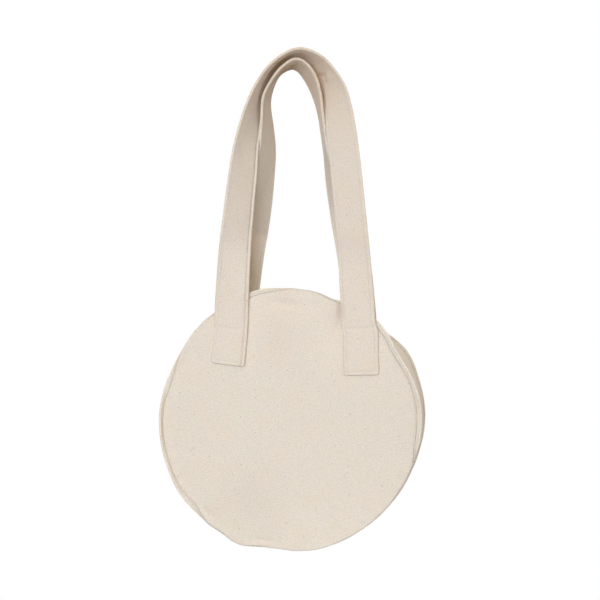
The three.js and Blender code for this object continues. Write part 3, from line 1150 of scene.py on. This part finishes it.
def flecks(shader, place):
    """A mask for the bits of seed husk in the yarn: a few in each square decimetre, of different sizes."""
    spread = shader.add("ShaderNodeMapping", {
        "Vector": place, "Scale": (1 / FLECK_SPACING, FLECK_SHAPE / FLECK_SPACING, 1)})
    cells = shader.add("ShaderNodeTexVoronoi", {
        "Vector": spread.outputs[0], "Scale": 1, "Randomness": 1}, voronoi_dimensions="2D")
    chance = shader.add("ShaderNodeSeparateColor", {"Color": cells.outputs["Color"]}).outputs[0]
    size = shader.map_range(chance, low=-0.1, high=1, most=0.038)
    inside = shader.math("SUBTRACT", size, cells.outputs["Distance"])
    return shader.map_range(inside, low=-0.005, high=0.016, most=0.7)


def canvas_material(slot, seed):
    shader = material_shader(slot)
    cloth = shader.add("ShaderNodeUVMap", uv_map="cloth").outputs[0]
    cut = [seed * step for step in CUT_STEP]
    place = shader.add("ShaderNodeMapping", {"Vector": cloth, "Location": (*cut, 0)}).outputs[0]
    wander = shader.add("ShaderNodeTexNoise", {"Vector": place, "Scale": WANDER_SCALE, "Detail": 1})
    shifted = shader.add("ShaderNodeVectorMath", {
        0: wander.outputs["Color"], 1: (WANDER, WANDER, 0), 2: place}, operation="MULTIPLY_ADD")
    parts = shader.add("ShaderNodeSeparateXYZ", {"Vector": shifted.outputs[0]})
    u = parts.outputs["X"]
    v = parts.outputs["Y"]
    layers = {
        "height": woven_height(shader, u, v),
        "warp": shader.streaks(u, v, SLUB_WIDTH, WARP_SLUB, seed),
        "weft": shader.streaks(v, u, SLUB_WIDTH, WEFT_SLUB, seed + WEFT_SEED),
        "mottle": shader.noise(place, MOTTLE_SCALE, 3),
        "grain": shader.noise(place, GRAIN_SCALE, 2),
    }
    for look in ("wear_and_shade", "arch_shade"):
        layers[look] = shader.add("ShaderNodeAttribute", attribute_name=look).outputs["Fac"]
    level = shader.math("ADD", shader.total(layers, TONE_WEIGHTS), TONE_BASE)
    warmth = shader.map_range(layers["mottle"], low=0.45, high=0.75, most=0.5)
    tinted = shader.mix(warmth, CANVAS_COLOURS[slot], WARM_COLOUR)
    lit = shader.add("ShaderNodeHueSaturation", {"Color": tinted, "Value": level}).outputs[0]
    # Painted shade on the straps' arch, multiplied into the colour
    arch_shaded = shader.mix(layers["arch_shade"], lit, ARCH_SHADE_TINT, blend_type="MULTIPLY")
    flecked = shader.mix(flecks(shader, place), arch_shaded, FLECK_COLOUR)
    relief = shader.total(layers, RELIEF_WEIGHTS)
    surface = shader.add("ShaderNodeBump", {
        "Height": relief, "Distance": RELIEF_HEIGHT * MM, "Strength": 0.8})
    return shader.finish(shader.add("ShaderNodeBsdfPrincipled", {
        "Base Color": flecked,
        "Roughness": shader.math("MULTIPLY_ADD", layers["height"], -0.12, 0.97),
        "Normal": surface.outputs[0],
        "Specular IOR Level": 0.2,
        "Sheen Weight": 0.06,
        "Sheen Roughness": 0.5,
        "Subsurface Weight": 0.2,
        "Subsurface Radius": (1, 0.5, 0.25),
        "Subsurface Scale": FIBRE_DEPTH * MM,
    }))


def thread_material():
    shader = material_shader("sewing_thread")
    place = shader.add("ShaderNodeTexCoord").outputs["Object"]
    twist = shader.noise(place, TWIST_SCALE, 2)
    tone = shader.add("ShaderNodeHueSaturation", {
        "Color": THREAD_COLOUR, "Value": shader.math("MULTIPLY_ADD", twist, 0.3, 0.83)}).outputs[0]
    surface = shader.add("ShaderNodeBump", {"Height": twist, "Distance": 0.1 * MM, "Strength": 0.6})
    return shader.finish(shader.add("ShaderNodeBsdfPrincipled", {
        "Base Color": tone, "Normal": surface.outputs[0], "Roughness": 0.75, "Specular IOR Level": 0.3}))


def floor_material():
    shader = material_shader("floor")
    return shader.finish(shader.add("ShaderNodeBsdfPrincipled", {
        "Base Color": FLOOR_COLOUR, "Roughness": 0.9}))


# The bag

canvas = {slot: canvas_material(slot, seed) for seed, slot in enumerate(CANVAS_COLOURS)}
thread = thread_material()

for panel in (FRONT, BACK):
    strap = Strap(panel)
    wall = cloth_piece(f"{panel.name}_panel_canvas", panel_rows(panel), canvas["canvas_panel"])
    edge = cloth_piece(f"{panel.name}_binding_canvas", binding_rows(panel), canvas["canvas_binding"])
    edge_seam = stitches(f"{panel.name}_binding_stitches", binding_stitches(panel), thread)
    carrier = cloth_piece(f"{panel.name}_strap_canvas", strap_rows(strap), canvas["canvas_strap"])
    carrier_seam = stitches(f"{panel.name}_strap_stitches", strap_stitches(strap), thread)
    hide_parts(f"{panel.name}_panel")
    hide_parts(f"{panel.name}_binding")
    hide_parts(f"{panel.name}_strap")

band = cloth_piece("gusset_canvas", gusset_rows(), canvas["canvas_band"])
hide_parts("gusset")


# The studio

FLOOR_DROP = 0.29
FLOOR_RADIUS = 0.45
FLOOR_SIDES = 96


def floor():
    height = cad_box[0].z - FLOOR_DROP
    shape = bmesh.new()
    bmesh.ops.create_circle(shape, cap_ends=True, radius=FLOOR_RADIUS, segments=FLOOR_SIDES)
    mesh = bpy.data.meshes.new("floor")
    shape.to_mesh(mesh)
    shape.free()
    mesh.materials.append(floor_material())
    piece = bpy.data.objects.new("floor", mesh)
    piece.location.z = height
    bpy.context.scene.collection.objects.link(piece)


DAYLIGHT = (0.765, 0.862, 1.0)

# Soft lamps, in metres and watts, all aimed at the bag
SOFTBOXES = (
    Softbox("key", place=(-0.35, -2.2, 0.08), size=(1.3, 1.2), power=42.4),
    Softbox("top", place=(0.1, -0.5, 2.2), size=(1.4, 1.0), power=4),
    Softbox("low", place=(1.3, -0.25, -0.55), size=(0.8, 0.8), power=4.2),
    Softbox("back", place=(1.9, 1.7, 1.2), size=(2.0, 1.6), power=23),
    Softbox("behind", place=(-1.3, 2.4, 1.0), size=(1.6, 1.4), power=40),
)


def hang_lamp(box):
    data = bpy.data.lights.new(box.name, "AREA")
    data.shape = "RECTANGLE"
    data.size, data.size_y = box.size
    data.energy = box.power
    data.color = DAYLIGHT
    lamp = bpy.data.objects.new(box.name, data)
    lamp.location = box.place
    aim = Vector((0, 0, cad_box[0].z / 2)) - lamp.location
    lamp.rotation_euler = aim.to_track_quat("-Z", "Y").to_euler()
    lamp.visible_camera = False
    bpy.context.scene.collection.objects.link(lamp)


SKY_STRENGTH = 0.6
SKY_ABOVE = (1.0, 0.85, 0.65, 1)
SKY_BELOW = (0.11, 0.082, 0.053, 1)
SKY_EDGE = 0.5
WHITE = (1, 1, 1, 1)


def studio_world():
    """White behind the bag; for its light, bright above and dim below."""
    world = bpy.data.worlds.new("studio")
    shader = Shader(world)
    direction = shader.add("ShaderNodeTexCoord").outputs["Generated"]
    height = shader.add("ShaderNodeSeparateXYZ", {0: direction}).outputs["Z"]
    rise = shader.add("ShaderNodeMapRange", {
        "Value": height, "From Min": -SKY_EDGE, "From Max": SKY_EDGE}, interpolation_type="SMOOTHSTEP")
    sky = shader.mix(rise.outputs[0], SKY_BELOW, SKY_ABOVE)
    light = shader.add("ShaderNodeBackground", {"Color": sky, "Strength": SKY_STRENGTH})
    behind = shader.add("ShaderNodeBackground", {"Color": WHITE})
    seen = shader.add("ShaderNodeLightPath").outputs["Is Camera Ray"]
    both = shader.add("ShaderNodeMixShader", {0: seen, 1: light.outputs[0], 2: behind.outputs[0]})
    shader.add("ShaderNodeOutputWorld", {"Surface": both.outputs[0]})
    bpy.context.scene.world = world


CAMERA_YAW = 7
CAMERA_DISTANCE = 1.75
CAMERA_RIGHT = 0.00875
CAMERA_HEIGHT = -0.2727
LENS = 90
SENSOR = 36


def camera():
    yaw = math.radians(CAMERA_YAW)
    right = Vector((math.cos(yaw), math.sin(yaw), 0))
    ahead = Vector((-math.sin(yaw), math.cos(yaw), 0))
    data = bpy.data.cameras.new("camera")
    data.lens = LENS
    data.sensor_width = SENSOR
    eye = bpy.data.objects.new("camera", data)
    eye.location = right * CAMERA_RIGHT - ahead * CAMERA_DISTANCE + Vector((0, 0, CAMERA_HEIGHT))
    eye.rotation_euler = (math.pi / 2, 0, yaw)
    bpy.context.scene.collection.objects.link(eye)
    bpy.context.scene.camera = eye


camera()
floor()
studio_world()
for box in SOFTBOXES:
    hang_lamp(box)
bpy.context.scene.view_settings.view_transform = "Standard"
